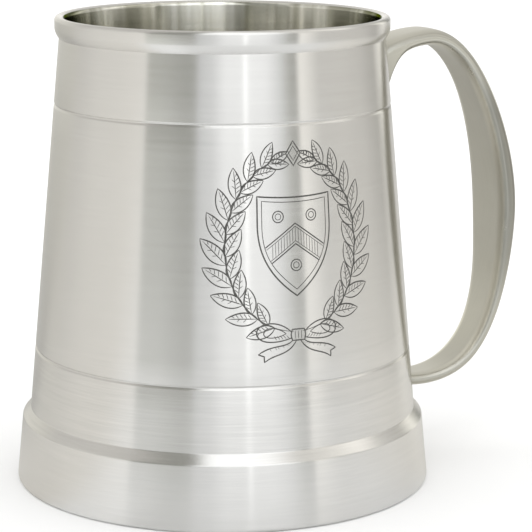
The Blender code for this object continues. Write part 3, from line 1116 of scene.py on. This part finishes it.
def cast_pewter(name, base, tarnish, rough, aniso):
    """The strap: cast, then brushed along its length."""
    mat, g = new_material(name, base)
    uv = g.node("ShaderNodeUVMap", uv_map="brush").outputs[0]
    where = g.coordinates()
    u, v, _ = g.split(uv)
    hair = g.noise(g.vector(g.times(u, 420.0), g.times(v, 9.0), 0.0), detail=3.0, rough=0.6)
    band = g.noise(g.vector(g.times(u, 90.0), g.times(v, 4.0), 3.0), detail=2.0, rough=0.5)
    cloud = g.noise(where, scale=75.0, detail=3.0, rough=0.6)
    grain = g.noise(where, scale=1500.0, detail=2.0, rough=0.6)
    worn = g.remap(g.geometry("Pointiness"), span=(0.51, 0.58))

    tone = g.plus(
        g.swing(hair, size=0.12),
        g.swing(band, size=0.07),
        g.swing(cloud, size=0.16),
        g.times(worn, 0.03),
    )
    # painted shade and painted highlights on the strap's sides, shoulders and arch
    tone = strap_painted_shade_and_highlights(g, g.plus(1.0, tone), height=g.split(where)[2])
    colour = g.mix(g.remap(cloud, span=(0.5, 0.8), to=(0.0, 0.5)), base, tarnish)
    colour = g.scale_colour(colour, tone)
    rough_now = g.plus(rough, g.swing(band, size=0.12))
    rough_now = g.minus(rough_now, g.times(worn, 0.07))
    relief = g.plus(g.times(hair, 0.8), g.times(grain, 0.5))
    normal = g.bump(relief, distance=2.2e-6)
    tangent = g.node("ShaderNodeTangent", direction_type="UV_MAP", uv_map="brush").outputs[0]
    finish_material(g, colour, rough_now, normal, aniso=aniso, tangent=tangent)
    return mat


def soft_solder(name, base, tarnish):
    """Solder run into the joint and dressed: lumpier and duller than the pewter."""
    mat, g = new_material(name, base)
    where = g.coordinates()
    lump = g.noise(where, scale=650.0, detail=3.0, rough=0.55)
    cloud = g.noise(where, scale=160.0, detail=2.0, rough=0.6)
    colour = g.mix(g.remap(cloud, span=(0.4, 0.75), to=(0.0, 0.7)), base, tarnish)
    colour = g.scale_colour(colour, g.plus(0.95, g.times(lump, 0.1)))
    normal = g.bump(lump, distance=0.00003, strength=0.7)
    rough = g.remap(cloud, span=(0.3, 0.7), to=(0.33, 0.46))
    finish_material(g, colour, rough, normal)
    return mat


def engraved(name, dark, bright):
    """The cut lines: burnt grey, with the odd brighter fleck at the bottom of the cut."""
    mat, g = new_material(name, (0.2, 0.2, 0.19))
    where = g.coordinates()
    fleck = g.noise(where, scale=2600.0, detail=2.0, rough=0.6)
    cloud = g.noise(where, scale=180.0, detail=2.0, rough=0.5)
    colour = g.mix(g.remap(fleck, span=(0.45, 0.75), to=(0.0, 0.6)), dark, bright)
    colour = g.scale_colour(colour, g.remap(cloud, span=(0.3, 0.7), to=(0.85, 1.2)))
    normal = g.bump(fleck, distance=0.000012, strength=0.8)
    finish_material(g, colour, rough=0.55, normal=normal, metallic=0.75)
    return mat


drum_metal = turned_pewter(
    "turned_pewter_drum", PEWTER, rough=0.25, fine=4200.0, streak=0.035, low_down=3.4, lined=True
)
rim_metal = turned_pewter(
    "turned_pewter_rim", (0.648, 0.637, 0.613), rough=0.23, fine=5200.0, streak=0.03, lined=True
)
foot_metal = turned_pewter(
    "turned_pewter_foot", (0.660, 0.649, 0.626), rough=0.23, fine=3600.0, streak=0.085
)
base_metal = turned_pewter(
    "turned_pewter_base", (0.62, 0.605, 0.57), rough=0.42, fine=3200.0, streak=0.09,
    coarse=700.0, aniso=0.85, bump=2.5e-6
)
strap_metal = cast_pewter(
    "cast_pewter_handle", base=(0.565, 0.552, 0.487), tarnish=(0.49, 0.477, 0.41),
    rough=0.34, aniso=0.4
)
solder_metal = soft_solder("soft_solder", base=(0.60, 0.595, 0.57), tarnish=(0.50, 0.49, 0.45))
cut_metal = engraved("engraved_lines", dark=(0.085, 0.084, 0.078), bright=(0.22, 0.215, 0.20))


# ---------------------------------------------------------------- the pieces
def build_turned_pieces():
    for name, profile, material, node, slot in (
        ("drum_wall", wall_profile(), drum_metal, "body_wall", "pewter_drum"),
        ("rim_moulding", rim_profile(), rim_metal, "rim_ring", "pewter_mouldings"),
        ("skirted_foot", foot_profile(), foot_metal, "foot_ring", "pewter_mouldings"),
        ("floor_plate", base_profile(), base_metal, "base_plate", "pewter_base"),
    ):
        place(name, revolve(name, profile), material, node, slot)
    seam = revolve("floor_seam", seam_profile(), segments=SEAM_SEGMENTS, wobble=seam_wobble)
    place("floor_seam", seam, solder_metal, "base_seam_solder", "solder")


def build_handle():
    rings, runs = strap_rings()
    strap = strap_mesh("strap_handle", rings, runs)
    place("strap_handle", strap, strap_metal, "handle", "pewter_handle")
    upper = fillet_mesh("upper_solder", rings, reach=0.9, seed=3)
    place("upper_solder", upper, solder_metal, "upper_handle_solder", "solder")
    lower = fillet_mesh("lower_solder", rings[::-1], reach=0.55, seed=8)
    place("lower_solder", lower, solder_metal, "lower_handle_solder", "solder")


build_turned_pieces()
build_handle()
wreath = engraving_mesh("wreath_engraving")
place("wreath_engraving", wreath, cut_metal, node=None, slot="pewter_drum")


# ---------------------------------------------------------------- floor, in metres
TABLE_R = 0.36          # the table top that the metal mirrors ends this far out
FLOOR_R = 8.0
FLOOR_SEGMENTS = 128


def floor_material():
    mat, g = new_material("pale_floor", (0.9, 0.9, 0.9))
    where = g.coordinates()
    cloud = g.noise(where, scale=3.0, detail=2.0, rough=0.5)
    colour = g.mix(cloud, (0.90, 0.90, 0.895), (0.93, 0.93, 0.925))
    x, y, _ = g.split(where)
    tone = g.mix(g.is_mirrored(), WHITE, tone_ramp(g, round_angle(g, x, y), TABLE_TONE))
    colour = g.multiply_colours(colour, tone)
    bsdf = g.node("ShaderNodeBsdfDiffuse", {"Color": colour, "Roughness": 0.0})
    g.node("ShaderNodeOutputMaterial", {"Surface": bsdf.outputs[0]})
    return mat


def build_floor():
    """A small table top, and beyond it a floor of the same tone that the metal doesn't see,
    so that its reflections fall off into the tent."""
    mat = floor_material()
    angles = [2 * math.pi * i / FLOOR_SEGMENTS for i in range(FLOOR_SEGMENTS)]
    for name, inner, outer in (("table_top", 0.0, TABLE_R), ("far_floor", TABLE_R, FLOOR_R)):
        bm = bmesh.new()
        far = [bm.verts.new((math.cos(a) * outer, math.sin(a) * outer, 0.0)) for a in angles]
        if inner:
            near = [bm.verts.new((math.cos(a) * inner, math.sin(a) * inner, 0.0)) for a in angles]
            for i in range(FLOOR_SEGMENTS):
                j = (i + 1) % FLOOR_SEGMENTS
                bm.faces.new((near[i], far[i], far[j], near[j]))
        else:
            bm.faces.new(far)
        mesh = to_mesh(bm, name)
        mesh.materials.append(mat)
        floor = bpy.data.objects.new(name, mesh)
        bpy.context.scene.collection.objects.link(floor)
        floor.visible_glossy = not inner


# ---------------------------------------------------------------- light: a soft tent all round
TENT_EVEN = (1.28, 1.28, 1.28)      # the plain light that everything but reflections gets
SILL_BLEND = (1, -7)                # elevations, in degrees, where eye level turns into sill
HIGH_BLEND = (16, 34)               # and where it turns into the overhead band


def build_world():
    world = bpy.data.worlds.new("studio_tent")
    bpy.context.scene.world = world
    world.use_nodes = True
    world.node_tree.nodes.clear()
    g = Nodes(world.node_tree)
    x, y, z = g.split(g.coordinates("Generated"))
    share = round_angle(g, x, y)
    sill, low, high = (tone_ramp(g, share, stops) for stops in (TENT_SILL, TENT_LOW, TENT_HIGH))
    down, up = (
        g.ease(z, span=[math.sin(math.radians(angle)) for angle in blend])
        for blend in (SILL_BLEND, HIGH_BLEND)
    )
    tent = g.mix(up, g.mix(down, low, sill), high)
    seen = g.mix(g.is_mirrored(), TENT_EVEN, tent)
    back = g.node("ShaderNodeBackground", {"Color": seen, "Strength": 1.0})
    g.node("ShaderNodeOutputWorld", {"Surface": back.outputs[0]})


# ---------------------------------------------------------------- camera
CAMERA_AWAY = 553.3     # level distance from the mug's axis
CAMERA_Z = 169.35
CAMERA_PITCH = 11.83    # degrees downward


def build_camera():
    turn = math.radians(CAMERA_TURN)
    data = bpy.data.cameras.new("camera")
    data.lens = 151.12
    data.sensor_width = 36.0
    data.sensor_fit = "HORIZONTAL"
    data.shift_x = 0.08195
    data.clip_start = 0.01
    data.clip_end = 50.0
    camera = bpy.data.objects.new("camera", data)
    bpy.context.scene.collection.objects.link(camera)
    x = -CAMERA_AWAY * math.sin(turn) * MM
    y = -CAMERA_AWAY * math.cos(turn) * MM
    camera.location = (x, y, CAMERA_Z * MM)
    camera.rotation_euler = (math.pi / 2 - math.radians(CAMERA_PITCH), 0.0, -turn)
    bpy.context.scene.camera = camera


def set_render():
    scene = bpy.context.scene
    scene.view_settings.view_transform = "Standard"
    scene.view_settings.look = "None"
    scene.view_settings.exposure = 0.0
    scene.view_settings.gamma = 1.0
    scene.cycles.glossy_bounces = 10
    scene.cycles.max_bounces = 14


build_floor()
build_world()
build_camera()
set_render()
